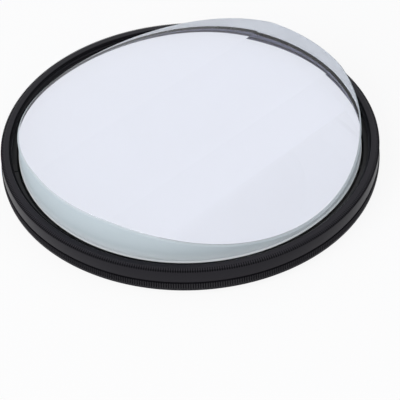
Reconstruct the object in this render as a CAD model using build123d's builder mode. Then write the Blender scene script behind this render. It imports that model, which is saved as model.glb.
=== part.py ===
"""Rotating screw-in special-effect lens filter with a thick prism glass.

Millimetres, +Z is the optical axis and points away from the lens. The origin is the
centre of the male thread's end face, on which the filter stands. The prism's flat strip
runs along X.
"""
import os
from math import cos, pi, radians, sin, tan

from build123d import *

# Screw thread that goes into the lens: major radius of M77 x 0.75
thread_r = 38.5
thread_length = 2.0
thread_chamfer = 0.3
thread_wall = 1.2

# Rear ring: the flange with its knurl, and the floor that the sleeve turns on
flange_height = 1.55
flange_wall = 1.25
flange_lip = 0.25
floor_thickness = 0.5
knurl_pitch = 0.6
knurl_depth = 0.18
knurl_band = 0.6

# Front ring: a band with a bevelled rim, and the sleeve that turns in the flange
sleeve_overhang = 0.9
band_overhang = 1.1
band_height = 3.05
bevel_width = 0.8
bevel_height = 0.25
mouth_chamfer = 0.25
shadow_gap = 0.5
shadow_depth = 0.6
turn_clearance = 0.05

# Split snap ring of square wire on edge, half in a V groove of the flange and half in one of
# the sleeve
snap_half = 0.4
snap_clearance = 0.05
snap_gap_angle = 14

# Retaining ring with two long spanner cut-outs
retainer_width = 1.45
retainer_recess = 1.8
retainer_clearance = 0.05
retainer_chamfer = 0.2
cutout_arc = 26
cutout_depth = 0.45
cutout_angle = 135.25

# Glass prism: a base under the retaining ring, a ground wall, and on top a flat strip beside the
# middle whose rounded sides go down to just below the rim
base_lip = 0.7
base_height = 1.0
foot_gap = 0.25
foot_bevel = 0.25
ridge_height = 6.4
edge_sink = 0.2
strip_half_width = 10.7
strip_offset = 1.65
bulge_height = 0.8
rim_bevel = 0.35

# Seat of the glass in the front ring
ledge_width = 1.5
ledge_thickness = 0.5
seat_clearance = 0.05
clamp_gap = 0.1

# Radii, worked outwards and inwards from the thread
rear_bore_r = thread_r - thread_wall
sleeve_r = thread_r + sleeve_overhang
flange_bore_r = sleeve_r + turn_clearance
flange_r = flange_bore_r + flange_wall
knurl_root_r = flange_r - knurl_depth
knurl_core_r = flange_r - knurl_band
front_r = sleeve_r + band_overhang
shadow_r = front_r - shadow_depth
front_thread_r = thread_r
retainer_r = front_thread_r - retainer_clearance
retainer_bore_r = retainer_r - retainer_width
foot_r = retainer_bore_r - foot_gap
wall_r = foot_r - foot_bevel
base_r = retainer_bore_r + base_lip
seat_bore_r = base_r + seat_clearance
ledge_bore_r = base_r - ledge_width
snap_r = sleeve_r + turn_clearance / 2

# Levels, from the thread's end face upwards
floor_top = thread_length + floor_thickness
knurl_bottom = thread_length + flange_lip
flange_top = thread_length + flange_height
band_bottom = flange_top + shadow_gap
thrust_top = band_bottom - turn_clearance
rim_top = band_bottom + band_height
sleeve_bottom = floor_top + turn_clearance
seat = sleeve_bottom + ledge_thickness
base_top = seat + base_height
clamp_step = base_top - clamp_gap
retainer_top = rim_top - retainer_recess
ridge_top = rim_top + ridge_height
edge_level = rim_top - edge_sink
snap_middle = (sleeve_bottom + flange_top) / 2
groove_depth = snap_half + snap_clearance - turn_clearance / 2
groove_bottom = snap_middle - groove_depth
groove_top = snap_middle + groove_depth

# Rear ring: the knurled edge of the flange, then the turned body inside it
knurl_teeth = round(2 * pi * flange_r / knurl_pitch)
knurl_points = []
for step in range(2 * knurl_teeth):
    radius = flange_r if step % 2 == 0 else knurl_root_r
    angle = pi * step / knurl_teeth
    knurl_points.append((radius * cos(angle), radius * sin(angle)))

with BuildPart() as rear_ring:
    with BuildSketch(Plane.XY.offset(knurl_bottom)) as knurl_outline:
        with BuildLine():
            Polyline(*knurl_points, close=True)
        make_face()
        Circle(knurl_core_r, mode=Mode.SUBTRACT)
    extrude(amount=flange_top - knurl_bottom)
    with BuildSketch(Plane.XZ) as rear_section:
        with BuildLine():
            Polyline(
                (rear_bore_r, 0),
                (thread_r - thread_chamfer, 0),
                (thread_r, thread_chamfer),
                (thread_r, thread_length),
                (knurl_root_r - turn_clearance, thread_length),
                (knurl_root_r - turn_clearance, knurl_bottom),
                (knurl_core_r, knurl_bottom),
                (knurl_core_r, flange_top),
                (shadow_r, flange_top),
                (shadow_r, thrust_top),
                (flange_bore_r, thrust_top),
                (flange_bore_r, groove_top),
                (flange_bore_r + groove_depth, snap_middle),
                (flange_bore_r, groove_bottom),
                (flange_bore_r, floor_top),
                (rear_bore_r, floor_top),
                close=True,
            )
        make_face()
    revolve(axis=Axis.Z)
rear_ring.part.label = "rear_ring"

# Front ring: sleeve, band, bevelled rim, mouth of the front thread and seat of the glass
with BuildPart() as front_ring:
    with BuildSketch(Plane.XZ) as front_section:
        with BuildLine():
            Polyline(
                (ledge_bore_r, sleeve_bottom),
                (sleeve_r, sleeve_bottom),
                (sleeve_r, groove_bottom),
                (sleeve_r - groove_depth, snap_middle),
                (sleeve_r, groove_top),
                (sleeve_r, band_bottom),
                (front_r, band_bottom),
                (front_r, rim_top - bevel_height),
                (front_r - bevel_width, rim_top),
                (front_thread_r + mouth_chamfer, rim_top),
                (front_thread_r, rim_top - mouth_chamfer),
                (front_thread_r, clamp_step),
                (seat_bore_r, clamp_step),
                (seat_bore_r, seat),
                (ledge_bore_r, seat),
                close=True,
            )
        make_face()
    revolve(axis=Axis.Z)
front_ring.part.label = "front_ring"

# Glass prism: a bar with the section of the top across the flat strip, turned to the outline of
# base, foot and wall, with a fine bevel round the top
near_crease = (strip_half_width - strip_offset, ridge_top)
far_crease = (-strip_half_width - strip_offset, ridge_top)
near_edge = (wall_r, edge_level)
far_edge = (-wall_r, edge_level)

with BuildPart() as glass_prism:
    with BuildSketch(Plane.YZ) as top_section:
        with BuildLine():
            Line(far_crease, near_crease)
            SagittaArc(near_crease, near_edge, bulge_height)
            Polyline(
                near_edge,
                (base_r, edge_level),
                (base_r, seat),
                (-base_r, seat),
                (-base_r, edge_level),
                far_edge,
            )
            SagittaArc(far_edge, far_crease, bulge_height)
        make_face()
    extrude(amount=base_r, both=True)
    with BuildSketch(Plane.XZ) as glass_section:
        with BuildLine():
            Polyline(
                (0, seat),
                (base_r, seat),
                (base_r, base_top),
                (foot_r, base_top),
                (foot_r, retainer_top),
                (wall_r, retainer_top + foot_bevel),
                (wall_r, ridge_top + rim_bevel),
                (0, ridge_top + rim_bevel),
                close=True,
            )
        make_face()
    revolve(axis=Axis.Z, mode=Mode.INTERSECT)
    top_faces = glass_prism.faces().sort_by(Axis.Z)[-3:]
    chamfer(top_faces.edges().filter_by(GeomType.LINE, reverse=True), rim_bevel)
glass_prism.part.label = "glass_prism"

# Retaining ring: screwed down on the base of the glass
with BuildPart() as retaining_ring:
    with BuildSketch(Plane.XZ) as retainer_section:
        with BuildLine():
            Polyline(
                (retainer_bore_r, base_top),
                (retainer_r, base_top),
                (retainer_r, retainer_top),
                (retainer_bore_r + retainer_chamfer, retainer_top),
                (retainer_bore_r, retainer_top - retainer_chamfer),
                close=True,
            )
        make_face()
    revolve(axis=Axis.Z)
    with BuildSketch(Plane.XY.offset(retainer_top - cutout_depth)) as cutout_sectors:
        half_width = front_r * tan(radians(cutout_arc / 2))
        with PolarLocations(0, 2, start_angle=cutout_angle):
            Polygon((0, 0), (front_r, -half_width), (front_r, half_width), align=None)
    extrude(amount=cutout_depth, mode=Mode.SUBTRACT)
retaining_ring.part.label = "retaining_ring"

# Snap ring: an open ring of square wire on edge
with BuildPart() as snap_ring:
    with BuildSketch(Plane.XZ) as snap_section:
        with BuildLine():
            Polyline(
                (snap_r - snap_half, snap_middle),
                (snap_r, snap_middle - snap_half),
                (snap_r + snap_half, snap_middle),
                (snap_r, snap_middle + snap_half),
                close=True,
            )
        make_face()
    revolve(axis=Axis.Z, revolution_arc=360 - snap_gap_angle)
snap_ring.part.label = "snap_ring"

os.makedirs("parts", exist_ok=True)
for piece in (rear_ring, front_ring, glass_prism, retaining_ring, snap_ring):
    export_step(piece.part, f"parts/{piece.part.label}.step")
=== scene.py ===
"""Looks of the rotating screw-in lens filter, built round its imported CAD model.

Lengths are written in millimetres, and MM turns them into metres. The lamps, the floor and the
camera are placed in metres.
"""
from math import asin, atan2, cos, hypot, pi, radians, sin

import bmesh
import bpy
from mathutils import Matrix, Vector


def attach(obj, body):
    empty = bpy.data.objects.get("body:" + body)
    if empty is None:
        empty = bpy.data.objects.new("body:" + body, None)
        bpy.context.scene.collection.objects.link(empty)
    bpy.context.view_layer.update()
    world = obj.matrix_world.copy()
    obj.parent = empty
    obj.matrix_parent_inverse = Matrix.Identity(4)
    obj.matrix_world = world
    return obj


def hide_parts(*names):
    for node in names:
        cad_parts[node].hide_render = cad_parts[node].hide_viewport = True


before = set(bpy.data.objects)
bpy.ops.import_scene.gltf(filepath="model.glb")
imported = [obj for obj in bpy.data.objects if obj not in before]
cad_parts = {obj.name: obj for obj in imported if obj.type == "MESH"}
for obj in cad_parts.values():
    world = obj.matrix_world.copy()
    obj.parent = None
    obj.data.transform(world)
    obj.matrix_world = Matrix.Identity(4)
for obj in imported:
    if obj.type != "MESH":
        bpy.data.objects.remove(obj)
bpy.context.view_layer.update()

MM = 0.001

# Points closer than this become one, and a point counts as on a level or a radius this near to it
MERGED = 0.002 * MM
NEAR = 0.01 * MM

# A ring is spun as one sector, which is then repeated
SECTORS = 6

# Edges that bend by more degrees stay sharp
RING_SHARP = 28
GLASS_SHARP = 4

# Both rings carry the same straight knurl, cut as fine V grooves
KNURL_TEETH = 522
KNURL_DEPTH = 0.18
KNURL_R = 40.7

# The rear ring's outline, as (radius, height): the thread's core, the flange with its lower lip,
# the counterbore with its snap groove, and the bore with two glare grooves and an end chamfer
REAR_OUTLINE = [
    (37.3, 0.5), (37.8, 0.0), (38.02, 0.0), (38.08, 0.06), (38.08, 1.86), (37.98, 1.94),
    (37.98, 2.0), (40.0, 2.0), (40.08, 1.6), (40.52, 1.6), (40.6, 1.68), (40.6, 2.2),
    (40.7, 2.2), (40.7, 3.55), (39.9, 3.55), (39.9, 4.0), (39.45, 4.0), (39.45, 3.475),
    (39.875, 3.05), (39.45, 2.625), (39.45, 2.5), (37.3, 2.5), (37.3, 2.28), (37.55, 2.06),
    (37.3, 1.84), (37.3, 1.17), (37.55, 0.95), (37.3, 0.73),
]

# The front ring's outline: sleeve with its snap groove, smooth band, knurled bevel, mouth and seat
FRONT_OUTLINE = [
    (36.2, 2.55), (39.4, 2.55), (39.4, 2.625), (38.975, 3.05), (39.4, 3.475), (39.4, 4.05),
    (39.95, 4.05), (39.95, 3.82), (40.42, 3.82), (40.5, 3.9), (40.5, 6.42), (40.5, 6.52),
    (40.5, 6.81), (40.44, 6.868), (39.84, 7.056), (39.7, 7.1), (38.75, 7.1), (38.5, 6.85),
    (38.5, 3.95), (37.75, 3.95), (37.75, 3.05), (36.2, 3.05),
]
# The points outside this radius that sink in a groove of the bevel's knurl: their height in the
# outline, and how far out and up they move
BEVEL_INNER_R = 39
BEVEL_SINKS = {6.52: (-0.05, 0.0), 6.81: (-0.19, -0.06), 6.868: (-0.17, -0.12), 7.056: (0.0, -0.1)}

# Both threads: where in a turn the flank starts, the crest starts and the crest ends
THREAD_PITCH = 0.75
THREAD_STEPS = 240
FLANK_START = 0.18
CREST_START = 0.42
CREST_END = 0.52

# The male thread's chamfer starts at this radius on the end face. The thread's buried back is drawn
# in at both ends, so that it shares no face with the ring
CHAMFER_R = 38.2
BACK_R = 37.9
BACK_INSET = 0.1

# The glass: a flat strip between two creases, rounded sides down to the edge, and a bevel round the
# top. Below the bevel come wall, foot and base, as (radius, height)
GLASS_TOP = 13.5
GLASS_HALF_LENGTH = 50
CREASES = {1: 9.05, -1: -12.35}
GLASS_EDGE = (36.5, 6.9)
SIDE_BULGE = 0.8
SIDE_STEPS = 24
GLASS_STEPS = 288
RIM_BEVEL = 0.35
GLASS_SKIRT = [(36.5, 5.75), (36.75, 5.5), (36.75, 4.05), (37.7, 4.05), (37.7, 3.05)]


# ---------------------------------------------------------------- shapes

def turned(outline, steps):
    """A closed outline of (radius, height) points, spun to a sector that is repeated to a ring."""
    shape = bmesh.new()
    points = [shape.verts.new((r * MM, 0, z * MM)) for r, z in outline]
    lines = [shape.edges.new(pair) for pair in zip(points, points[1:] + points[:1])]
    bmesh.ops.spin(
        shape, geom=points + lines, cent=(0, 0, 0), axis=(0, 0, 1), angle=2 * pi / SECTORS,
        steps=steps // SECTORS,
    )
    bmesh.ops.spin(
        shape, geom=shape.verts[:] + shape.edges[:] + shape.faces[:], cent=(0, 0, 0),
        axis=(0, 0, 1), angle=2 * pi * (SECTORS - 1) / SECTORS, steps=SECTORS - 1,
        use_duplicate=True,
    )
    bmesh.ops.remove_doubles(shape, verts=shape.verts, dist=MERGED)
    return shape


def to_radius(vert, radius):
    """Moves a point straight towards the axis, or away from it, to a radius."""
    scale = radius * MM / hypot(vert.co.x, vert.co.y)
    vert.co.x *= scale
    vert.co.y *= scale


def in_groove(vert):
    """True for every second point round the ring: these make the bottoms of the knurl's grooves."""
    return round(atan2(vert.co.y, vert.co.x) / (pi / KNURL_TEETH)) % 2 == 1


def placed(name, data):
    """A new object in the scene."""
    made = bpy.data.objects.new(name, data)
    bpy.context.scene.collection.objects.link(made)
    return made


def piece(name, shape, body, sharp=RING_SHARP):
    """Closes off a shape as an object that moves with a body."""
    bmesh.ops.recalc_face_normals(shape, faces=shape.faces)
    mesh = bpy.data.meshes.new(name)
    shape.to_mesh(mesh)
    shape.free()
    mesh.polygons.foreach_set("use_smooth", [True] * len(mesh.polygons))
    mesh.set_sharp_from_angle(angle=radians(sharp))
    made = placed(name, mesh)
    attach(made, body)
    return made


def thread_skin(crest, root, low, high, back):
    """A closed band of screw thread between two heights, with its back buried in the ring."""
    outline, height = [], low - 2 * THREAD_PITCH
    while height < high + THREAD_PITCH:
        outline += [
            (root, height), (root, height + FLANK_START), (crest, height + CREST_START),
            (crest, height + CREST_END),
        ]
        height += THREAD_PITCH
    skin = bmesh.new()
    points = [skin.verts.new((r * MM, 0, z * MM)) for r, z in outline]
    lines = [skin.edges.new(pair) for pair in zip(points, points[1:])]
    bmesh.ops.spin(
        skin, geom=points + lines, cent=(0, 0, 0), axis=(0, 0, 1), angle=2 * pi,
        dvec=(0, 0, THREAD_PITCH * MM / THREAD_STEPS), steps=THREAD_STEPS,
    )
    bmesh.ops.remove_doubles(skin, verts=skin.verts, dist=MERGED)
    for level, away in ((low, -1), (high, 1)):
        bmesh.ops.bisect_plane(
            skin, geom=skin.verts[:] + skin.edges[:] + skin.faces[:], dist=0.0005 * MM,
            plane_co=(0, 0, level * MM), plane_no=(0, 0, away), clear_outer=True,
        )
    bmesh.ops.remove_doubles(skin, verts=skin.verts, dist=MERGED)
    rims = []
    for level in (low, high):
        rim = [
            edge for edge in skin.edges if edge.is_boundary
            and all(abs(vert.co.z - level * MM) < NEAR for vert in edge.verts)
        ]
        grown = bmesh.ops.extrude_edge_only(skin, edges=rim)["geom"]
        for vert in grown:
            if isinstance(vert, bmesh.types.BMVert):
                to_radius(vert, back)
        rims += [edge for edge in grown if isinstance(edge, bmesh.types.BMEdge)]
    bmesh.ops.bridge_loops(skin, edges=[edge for edge in rims if edge.is_boundary])
    return skin


def rear_ring():
    """The ring that screws into the lens, with the knurled flange."""
    shape = turned(REAR_OUTLINE, 2 * KNURL_TEETH)
    for vert in shape.verts:
        if abs(hypot(vert.co.x, vert.co.y) - KNURL_R * MM) < NEAR and in_groove(vert):
            to_radius(vert, KNURL_R - KNURL_DEPTH)
    ring = piece("knurled_rear_ring", shape, "rear")
    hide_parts("rear_ring")
    return ring


def front_ring():
    """The ring that turns, with the knurled bevel round its top."""
    shape = turned(FRONT_OUTLINE, 2 * KNURL_TEETH)
    for vert in shape.verts:
        radius = hypot(vert.co.x, vert.co.y) / MM
        sink = BEVEL_SINKS.get(round(vert.co.z / MM, 3))
        if sink and radius > BEVEL_INNER_R and in_groove(vert):
            to_radius(vert, radius + sink[0])
            vert.co.z += sink[1] * MM
    ring = piece("turning_front_ring", shape, "front")
    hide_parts("front_ring")
    return ring


def lens_thread():
    """The male thread, with its first turns chamfered towards the end face."""
    low, high = 0.0, 1.82
    skin = thread_skin(crest=38.5, root=38.08, low=low, high=high, back=BACK_R)
    for vert in skin.verts:
        radius, height = hypot(vert.co.x, vert.co.y) / MM, vert.co.z / MM
        if radius > CHAMFER_R + height:
            to_radius(vert, CHAMFER_R + height)
        if abs(radius - BACK_R) < NEAR / MM:
            vert.co.z += (BACK_INSET if height < (low + high) / 2 else -BACK_INSET) * MM
    return piece("lens_thread", skin, "rear")


def mouth_thread():
    """The female thread in the front ring's mouth, above the retaining ring."""
    skin = thread_skin(crest=38.16, root=38.48, low=5.36, high=6.82, back=38.62)
    return piece("mouth_thread", skin, "front")


def glass():
    """The prism: its top as a bent sheet, trimmed round, then drawn down to wall, foot and base."""
    shape = bmesh.new()
    corners = {
        side: shape.verts.new((-GLASS_HALF_LENGTH * MM, y * MM, GLASS_TOP * MM))
        for side, y in CREASES.items()
    }
    shape.edges.new(corners.values())
    for side, corner in corners.items():
        across, down = side * GLASS_EDGE[0] - CREASES[side], GLASS_EDGE[1] - GLASS_TOP
        half = hypot(across, down) / 2
        bend = (half * half + SIDE_BULGE * SIDE_BULGE) / (2 * SIDE_BULGE)
        sunk = (bend - SIDE_BULGE) / half / 2
        middle = Vector((
            0, CREASES[side] + across / 2 + side * down * sunk,
            GLASS_TOP + down / 2 - side * across * sunk,
        ))
        bmesh.ops.spin(
            shape, geom=[corner], cent=middle * MM, axis=(1, 0, 0),
            angle=-2 * side * asin(half / bend), steps=SIDE_STEPS,
        )
    drawn = bmesh.ops.extrude_edge_only(shape, edges=shape.edges)["geom"]
    bmesh.ops.translate(
        shape, vec=(2 * GLASS_HALF_LENGTH * MM, 0, 0),
        verts=[vert for vert in drawn if isinstance(vert, bmesh.types.BMVert)],
    )
    for step in range(GLASS_STEPS):
        out = Vector((cos(2 * pi * step / GLASS_STEPS), sin(2 * pi * step / GLASS_STEPS), 0))
        bmesh.ops.bisect_plane(
            shape, geom=shape.verts[:] + shape.edges[:] + shape.faces[:], dist=0.0001 * MM,
            plane_co=out * (GLASS_EDGE[0] - RIM_BEVEL) * MM, plane_no=out, clear_outer=True,
        )
    bmesh.ops.remove_doubles(shape, verts=shape.verts, dist=MERGED)
    for radius, height in [(GLASS_EDGE[0], None)] + GLASS_SKIRT:
        rim = [edge for edge in shape.edges if edge.is_boundary]
        for vert in bmesh.ops.extrude_edge_only(shape, edges=rim)["geom"]:
            if isinstance(vert, bmesh.types.BMVert):
                to_radius(vert, radius)
                vert.co.z = height * MM if height else vert.co.z - RIM_BEVEL * MM
    bmesh.ops.contextual_create(shape, geom=[edge for edge in shape.edges if edge.is_boundary])
    made = piece("glass_prism_polished", shape, "front", sharp=GLASS_SHARP)
    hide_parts("glass_prism")
    return made


# ---------------------------------------------------------------- finishes

# Zones of the rings, as heights and radii: the knurled bevel, painted paler as painted light, and
# its outer corner with painted shade; the knurled flange; the mouth with painted shade; and the
# bore and ledge, painted a light grey as painted light, so that they show grey through the glass
BEVEL_ZONE = (6.5, 7.2), (39.75, 41)
CORNER_SHADE_ZONE = (6.58, 7.0), (40.2, 41)
FLANGE_ZONE = (2.2, 3.6), (40.45, 41)
MOUTH_SHADE_ZONE = (4.5, 7.0), (38, 38.82)
BORE_PAINTED_LIGHT_ZONE = (0, 3.2), (36, 37.34)
ZONE_BLUR = 0.04

# Painted shade: the mouth turns black between these heights, just under its edge
MOUTH_EDGE_SHADE = (6.72, 6.78)

# Painted shade in a knurl's grooves fades over this part of the teeth's flanks: 1 is the groove's
# bottom and -1 the tooth's tip
FLANGE_SHADE = (-0.3, 0.8)
BEVEL_SHADE = (-0.7, 0.4)

TURNING_PITCH = 0.11

# One end of each of the retaining ring's two cut-outs, in degrees: the corners there carry painted
# shade in black, fading with the distance from them. So does the edge of the bore, fading with
# the radius
CUT_END = 148.25
CUT_CORNER_SHADE = (0.2, 0.4)
RETAINER_EDGE_SHADE = (37.2, 37.3)

# The glass, by radius: where its ground bevel and wall start, and the bevel alone, which is painted
# darker as painted shade
GLASS_IOR = 1.52
GROUND_START = (36.16, 36.2)
GLASS_BEVEL_SHADE_RADII = (36.1, 36.45)
# By height: the wall is painted paler downwards, painted light against the shade near its foot, and
# ends in a pale line, a painted highlight, over a foot painted black as painted shade. Seen from
# inside it is painted paler than the base, as painted light, and the back below is coated
WALL_PAINTED_LIGHT = (8.0, 5.6)
FOOT_HIGHLIGHT = (5.77, 5.72)
FOOT_PAINTED_SHADE = (5.5, 5.46)
INNER_WALL = (4.06, 4.2)
BARE_FROM = (3.1, 3.2)


class Value:
    """A socket that carries a number; the operators add Math nodes."""

    def __init__(self, finish, socket):
        self.finish = finish
        self.socket = socket

    def __add__(self, other):
        return self.finish.maths("ADD", self, other)

    def __radd__(self, other):
        return self.finish.maths("ADD", other, self)

    def __sub__(self, other):
        return self.finish.maths("SUBTRACT", self, other)

    def __rsub__(self, other):
        return self.finish.maths("SUBTRACT", other, self)

    def __mul__(self, other):
        return self.finish.maths("MULTIPLY", self, other)

    def __rmul__(self, other):
        return self.finish.maths("MULTIPLY", other, self)


class Finish:
    """The node tree of a material or of the world."""

    def __init__(self, owner):
        owner.use_nodes = True
        self.owner = owner
        self.tree = owner.node_tree
        self.tree.nodes.clear()

    def node(self, kind, settings, inputs, output=0):
        """Adds a node: its settings first, then the values or links of its sockets."""
        made = self.tree.nodes.new("ShaderNode" + kind)
        for name, value in settings.items():
            setattr(made, name, value)
        for name, value in inputs.items():
            if isinstance(value, Value):
                self.tree.links.new(value.socket, made.inputs[name])
            else:
                made.inputs[name].default_value = value
        return None if output is None else Value(self, made.outputs[output])

    def output(self, kind, shader):
        """Ends the tree, and gives back the material or the world."""
        self.node("Output" + kind, {}, {"Surface": shader}, None)
        return self.owner

    def maths(self, operation, *inputs):
        return self.node("Math", {"operation": operation}, dict(enumerate(inputs)))

    def mix(self, factor, first, second):
        """The first colour where the factor is 0, and the second where it is 1."""
        return self.node("Mix", {"data_type": "RGBA"}, {"Factor": factor, 6: first, 7: second}, 2)

    def surface(self, inputs):
        return self.node("BsdfPrincipled", {}, inputs)

    def blend(self, factor, first, second):
        """The first surface where the factor is 0, and the second where it is 1."""
        return self.node("MixShader", {}, {0: factor, 1: first, 2: second})

    def spot(self):
        """The point on the piece, in metres."""
        return self.node("TexCoord", {}, {}, "Object")

    def along(self, spot, axis):
        return self.node("SeparateXYZ", {}, {0: spot}, axis)

    def radius(self, spot):
        x, y = self.along(spot, "X"), self.along(spot, "Y")
        return self.maths("SQRT", x * x + y * y)

    def height(self, spot):
        return self.along(spot, "Z")

    def angle(self, spot):
        """The angle round the axis, in radians."""
        return self.maths("ARCTAN2", self.along(spot, "Y"), self.along(spot, "X"))

    def step(self, value, start, end):
        """0 at the start and before it, 1 at the end and past it, smooth between them."""
        return self.node(
            "MapRange", {"interpolation_type": "SMOOTHSTEP"},
            {"Value": value, "From Min": start, "From Max": end},
        )

    def past(self, length, start, end):
        """The same step between two lengths."""
        return self.step(length, start * MM, end * MM)

    def between(self, length, low, high):
        """1 between two lengths, and 0 outside them."""
        rise = self.past(length, low - ZONE_BLUR, low + ZONE_BLUR)
        return rise * (1 - self.past(length, high - ZONE_BLUR, high + ZONE_BLUR))

    def zone(self, height, radius, heights, radii):
        """1 in a zone round the axis, and 0 outside it."""
        return self.between(height, *heights) * self.between(radius, *radii)

    def noise(self, spot, scale, detail):
        return self.node("TexNoise", {}, {"Vector": spot, "Scale": scale, "Detail": detail})


def satin_black():
    """Black anodised aluminium: a blasted satin skin over fine turning lines. Painted shade turns
    the knurls' grooves, the bevel's outer corner and the mouth near-black, and painted light makes
    the knurled bevel, the bore and the ledge paler.
    """
    finish = Finish(bpy.data.materials.new("satin_black_anodised"))
    spot = finish.spot()
    radius, height = finish.radius(spot), finish.height(spot)
    cloud = finish.noise(spot, scale=90, detail=2)
    grain = finish.noise(spot, scale=9000, detail=3)
    lines = finish.maths("SINE", (radius + height) * (2 * pi / (TURNING_PITCH * MM)))
    hollow = 0 - finish.maths("COSINE", finish.angle(spot) * KNURL_TEETH)
    bevel = finish.zone(height, radius, *BEVEL_ZONE)
    # Painted shade on the bevel's outer corner
    corner = finish.zone(height, radius, *CORNER_SHADE_ZONE)
    flange = finish.zone(height, radius, *FLANGE_ZONE)
    mouth = finish.zone(height, radius, *MOUTH_SHADE_ZONE)
    bore = finish.zone(height, radius, *BORE_PAINTED_LIGHT_ZONE)
    # Painted shade in the grooves of both knurls
    groove = finish.step(hollow, *FLANGE_SHADE) * flange + finish.step(hollow, *BEVEL_SHADE) * bevel
    # Painted shade over the whole mouth, turning black just under its edge
    mouth_painted_shade = 0.1 + 0.85 * finish.past(height, *MOUTH_EDGE_SHADE)
    # Painted shade: how far the grooves, the bevel's outer corner and the mouth turn near-black
    painted_shade = groove * 0.9 + corner * 0.55 + mouth * mouth_painted_shade
    colour = finish.mix(cloud, (0.0085, 0.0080, 0.0103, 1), (0.0115, 0.0109, 0.0137, 1))
    # Painted light: the bore and ledge are painted a light grey, so they show grey through the
    # glass
    colour = finish.mix(bore, colour, (0.165, 0.166, 0.22, 1))
    # Painted light: the knurled bevel is painted a little paler than the rest of the ring
    colour = finish.mix(bevel, colour, (0.022, 0.021, 0.025, 1))
    relief = finish.node(
        "Bump", {}, {"Strength": 0.25, "Distance": 0.004 * MM, "Height": lines * 0.35 + grain}
    )
    skin = finish.surface({
        "Base Color": colour, "Roughness": 0.24 + cloud * 0.08 + grain * 0.06,
        "Specular IOR Level": 0.18, "Specular Tint": (0.97, 0.94, 1.0, 1), "Normal": relief,
    })
    # The near-black surface that the painted shade blends in
    painted_shade_surface = finish.surface({
        "Base Color": (0.002, 0.002, 0.003, 1), "Roughness": 0.6, "Specular IOR Level": 0.05,
    })
    return finish.output("Material", finish.blend(painted_shade, skin, painted_shade_surface))


def matt_black():
    """The retaining ring's matt black, with painted shade in the cut-outs' corners and along the
    bore.
    """
    finish = Finish(bpy.data.materials.new("matt_black_anodised"))
    spot = finish.spot()
    radius = finish.radius(spot)
    cloud = finish.noise(spot, scale=140, detail=2)
    grain = finish.noise(spot, scale=7000, detail=3)
    # In half turns from the nearest corner, then as a length along the ring
    turn = finish.maths("FRACT", finish.angle(spot) * (1 / pi) + (1.5 - CUT_END / 180))
    away = finish.maths("ABSOLUTE", turn - 0.5) * pi * radius
    # Painted shade: near-black in the cut-outs' corners and along the bore's edge
    painted_shade = 1 - finish.past(away, *CUT_CORNER_SHADE) * finish.past(radius, *RETAINER_EDGE_SHADE)
    relief = finish.node("Bump", {}, {"Strength": 0.3, "Distance": 0.005 * MM, "Height": grain})
    skin = finish.surface({
        "Base Color": finish.mix(cloud, (0.022, 0.022, 0.0225, 1), (0.03, 0.03, 0.0305, 1)),
        "Roughness": 0.5 + grain * 0.12, "Specular IOR Level": 0.3, "Normal": relief,
    })
    # The near-black surface that the painted shade blends in
    painted_shade_surface = finish.surface({
        "Base Color": (0.002, 0.002, 0.002, 1), "Roughness": 0.6, "Specular IOR Level": 0.05,
    })
    return finish.output("Material", finish.blend(painted_shade, skin, painted_shade_surface))


def optical_glass():
    """Clear glass: a polished top, a coated back, a ground bevel and wall, and a foot painted black
    as painted shade. The ground glass also carries painted light, painted shade and a painted
    highlight.
    """
    finish = Finish(bpy.data.materials.new("optical_glass"))
    spot = finish.spot()
    radius, height = finish.radius(spot), finish.height(spot)
    cloud = finish.noise(spot, scale=120, detail=2)
    grain = finish.noise(spot, scale=6000, detail=3)
    coated, bare = (
        finish.surface({
            "Base Color": (0.86, 0.885, 0.965, 1), "Roughness": 0.0, "IOR": GLASS_IOR,
            "Specular Tint": (mirror, mirror, mirror, 1), "Transmission Weight": 1.0,
        }) for mirror in (0.0, 1.0)
    )
    outer = finish.mix(cloud, (0.565, 0.655, 0.69, 1), (0.605, 0.695, 0.73, 1))
    # Painted light: the wall grows paler towards its foot
    outer = finish.mix(finish.past(height, *WALL_PAINTED_LIGHT), outer, (0.87, 0.95, 0.985, 1))
    # Painted shade: the up-facing bevel is painted darker than the wall
    outer = finish.mix(finish.between(radius, *GLASS_BEVEL_SHADE_RADII), outer, (0.52, 0.58, 0.61, 1))
    # Painted highlight: a pale line on the foot's bevel, under the wall
    outer = finish.mix(finish.past(height, *FOOT_HIGHLIGHT), outer, (0.80, 0.845, 0.85, 1))
    # Painted shade: the foot is painted black, for the shaded gap at the retaining ring
    outer = finish.mix(finish.past(height, *FOOT_PAINTED_SHADE), outer, (0.01, 0.01, 0.01, 1))
    # Painted light: seen from inside, the ground wall is painted near-white, paler than outside
    inner = finish.mix(
        finish.past(height, *INNER_WALL), (0.95, 0.97, 1.0, 1), (0.97, 1.0, 1.0, 1)
    )
    frost, inside_painted_light = (
        finish.surface({
            "Base Color": tone, "Roughness": 0.6 + grain * 0.2, "IOR": GLASS_IOR,
            "Specular IOR Level": 0.15, "Transmission Weight": clear,
        }) for tone, clear in ((outer, 0.3), (inner, 0.06))
    )
    polished = finish.blend(finish.past(height, *BARE_FROM), coated, bare)
    ground = finish.blend(finish.node("NewGeometry", {}, {}, "Backfacing"), frost, inside_painted_light)
    return finish.output(
        "Material", finish.blend(finish.past(radius, *GROUND_START), polished, ground)
    )


def spring_wire():
    """Drawn spring steel."""
    finish = Finish(bpy.data.materials.new("spring_wire"))
    cloud = finish.noise(finish.spot(), scale=400, detail=2)
    return finish.output("Material", finish.surface({
        "Base Color": finish.mix(cloud, (0.45, 0.45, 0.46, 1), (0.6, 0.6, 0.61, 1)),
        "Metallic": 1.0, "Roughness": 0.28 + cloud * 0.15,
    }))


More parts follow.
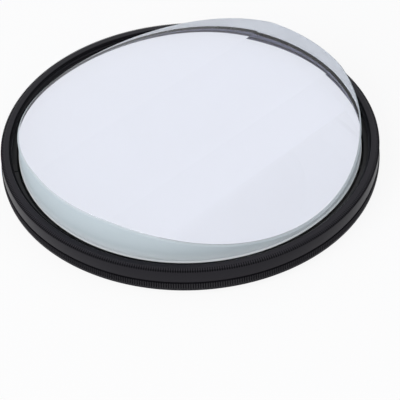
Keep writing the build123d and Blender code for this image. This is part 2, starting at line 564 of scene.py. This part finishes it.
def shown(finish, straight, mirrored, through):
    """How white the background is seen straight, in a reflection and through the glass."""
    seen, glossy, passed = (finish.node("LightPath", {}, {}, name) for name in (
        "Is Camera Ray", "Is Glossy Ray", "Is Transmission Ray",
    ))
    return seen * straight + glossy * (1 - passed) * mirrored + passed * through


def white_floor():
    """A pale floor that takes the shadow, whiter where it is seen as the background."""
    finish = Finish(bpy.data.materials.new("white_floor"))
    white = shown(finish, straight=0.9, mirrored=0.6, through=0.8)
    matt = finish.node("BsdfDiffuse", {}, {"Color": (0.8, 0.8, 0.82, 1)})
    bright = finish.node("Emission", {}, {"Color": (1, 1, 1, 1), "Strength": 1.0})
    return finish.output("Material", finish.blend(white, matt, bright))


# ---------------------------------------------------------------- stage, lights and camera

FLOOR_HALF = 3.0

# Both softboxes are this far from the point they face
LAMP_DISTANCE = 0.9
LAMP_TARGET = Vector((0, 0, 0.005))

# The camera, fitted to the photograph's frame; angles in degrees
SENSOR_WIDTH = 36
FOCAL_LENGTH = 138.47
CAMERA_TARGET = Vector((-0.011163, -0.014405, 0.005))
CAMERA_AZIMUTH = -43.127
CAMERA_ELEVATION = 43.190
CAMERA_DISTANCE = 0.31789
CAMERA_ROLL = -2.122


def floor():
    shape = bmesh.new()
    bmesh.ops.create_grid(shape, x_segments=1, y_segments=1, size=FLOOR_HALF)
    mesh = bpy.data.meshes.new("floor")
    shape.to_mesh(mesh)
    shape.free()
    mesh.materials.append(white_floor())
    placed("floor", mesh)


def surroundings():
    """An even pale studio all round, whiter where it is seen as the background."""
    world = bpy.data.worlds.new("studio")
    bpy.context.scene.world = world
    finish = Finish(world)
    strength = 0.5 + shown(finish, straight=0.5, mirrored=0.55, through=0.5)
    finish.output("World", finish.node(
        "Background", {}, {"Color": (0.95, 0.955, 1, 1), "Strength": strength}
    ))


def facing(place, target, roll=0.0):
    """The matrix of a camera or lamp at a place that looks at a target."""
    ahead = (target - place).normalized()
    right = ahead.cross(Vector((0, 0, 1))).normalized()
    up = right.cross(ahead)
    turned_right = right * cos(roll) + up * sin(roll)
    turned_up = up * cos(roll) - right * sin(roll)
    axes = Matrix((turned_right, turned_up, -ahead)).transposed().to_4x4()
    return Matrix.Translation(place) @ axes


def from_angles(azimuth, elevation, distance, target):
    """A place at angles in degrees round a target: azimuth 0 is the front, at -Y."""
    a, e = radians(azimuth), radians(elevation)
    return target + distance * Vector((sin(a) * cos(e), -cos(a) * cos(e), sin(e)))


def softbox(name, azimuth, elevation, size, power):
    lamp = bpy.data.lights.new(name, "AREA")
    lamp.shape = "SQUARE"
    lamp.size = size
    lamp.energy = power
    place = from_angles(azimuth, elevation, LAMP_DISTANCE, LAMP_TARGET)
    placed(name, lamp).matrix_world = facing(place, LAMP_TARGET)


def camera():
    lens = bpy.data.cameras.new("camera")
    lens.sensor_width = SENSOR_WIDTH
    lens.lens = FOCAL_LENGTH
    lens.clip_start = 0.01
    place = from_angles(CAMERA_AZIMUTH, CAMERA_ELEVATION, CAMERA_DISTANCE, CAMERA_TARGET)
    made = placed("camera", lens)
    made.matrix_world = facing(place, CAMERA_TARGET, radians(CAMERA_ROLL))
    bpy.context.scene.camera = made


# ---------------------------------------------------------------- assembly

ring_finish = satin_black()
for made in (rear_ring(), front_ring(), lens_thread(), mouth_thread()):
    made.data.materials.append(ring_finish)

glass().data.materials.append(optical_glass())

for node, finish in (("retaining_ring", matt_black()), ("snap_ring", spring_wire())):
    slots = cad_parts[node].data.materials
    slots.clear()
    slots.append(finish)

floor()
surroundings()
softbox("key", azimuth=-85, elevation=34, size=0.7, power=6)
softbox("fill", azimuth=20, elevation=40, size=0.7, power=1.1)
camera()

bpy.context.scene.view_settings.view_transform = "Standard"
